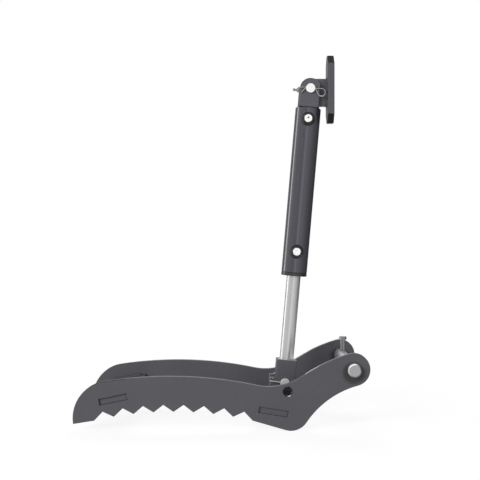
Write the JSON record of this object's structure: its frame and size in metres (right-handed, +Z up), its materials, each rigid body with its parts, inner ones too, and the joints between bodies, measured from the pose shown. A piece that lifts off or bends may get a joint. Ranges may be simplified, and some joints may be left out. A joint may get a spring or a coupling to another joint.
{
  "type": "excavator thumb",
  "caption": "Hydraulic excavator thumb: toothed side plates on a base pin, swung by a cylinder with a weld-on mounting pad.",
  "frame": {"origin": "on the base pivot's axis, midway between the two side plates", "axes": "+Y along the base pin and the cylinder pins, +Z up with the thumb standing on its heel and tip, -X towards the tip"},
  "size_m": [0.762, 0.412, 0.9922],
  "materials": {
    "painted_plate": "satin dark grey powder coat",
    "painted_clevis": "satin dark grey paint on a machined block",
    "painted_barrel": "gloss dark grey paint",
    "bright_steel": "ground bright steel",
    "machined_steel": "turned steel",
    "zinc_steel": "zinc plated",
    "wire": "drawn zinc plated wire",
    "chrome_rod": "hard chrome, polished",
    "seal_rubber": "matt",
    "wear_plastic": "filled plastic",
    "white_plastic": "moulded white plastic"
  },
  "bodies": {
    "thumb_frame": {"side_plate_near": "painted_plate", "side_plate_far": "painted_plate", "front_cross_plate": "painted_plate", "rear_cross_plate": "painted_plate", "cylinder_tang": "painted_plate"},
    "pin_and_bolt": {"base_pin": "bright_steel", "lock_bolt": "zinc_steel", "lock_nut": "zinc_steel"},
    "rod_end": {"rod_clevis": "painted_clevis", "rod_clevis_pin": "bright_steel", "rod_cotter_near": "wire", "rod_cotter_far": "wire", "rod_grease_fitting": "zinc_steel", "piston_rod": "chrome_rod", "piston": "machined_steel", "piston_seal": "seal_rubber", "piston_wear_ring": "wear_plastic", "piston_nut": "machined_steel"},
    "barrel_end": {"barrel_tube": "painted_barrel", "gland": "painted_barrel", "rod_wiper": "seal_rubber", "rod_seal": "seal_rubber", "gland_ring": "seal_rubber", "lower_port_boss": "painted_barrel", "upper_port_boss": "painted_barrel", "lower_port_plug": "white_plastic", "upper_port_plug": "white_plastic", "base_clevis": "painted_clevis", "base_clevis_pin": "bright_steel", "base_cotter_near": "wire", "base_cotter_far": "wire", "base_grease_fitting": "zinc_steel"},
    "pad_end": {"pad_plate": "painted_plate", "pad_lug": "painted_plate"}
  },
  "joints": [
    {"name": "base_pivot_turn", "type": "hinge", "parent": "thumb_frame", "child": "pin_and_bolt", "pos_m": [0, 0, 0], "axis": [0, 1, 0], "range_deg": [-79, 38]},
    {"name": "rod_pivot", "type": "hinge", "parent": "thumb_frame", "child": "rod_end", "pos_m": [-0.1694, 0, -0.0558], "axis": [0, 1, 0], "range_deg": [-85, 33]},
    {"name": "cylinder_stroke", "type": "slide", "parent": "rod_end", "child": "barrel_end", "axis": [0.0863, 0, 0.9963], "range_m": [-0.215, 0.09]},
    {"name": "pad_pivot", "type": "hinge", "parent": "barrel_end", "child": "pad_end", "pos_m": [-0.10015, 0, 0.74371], "axis": [0, 1, 0], "range_deg": [-150, 6.4]}
  ]
}
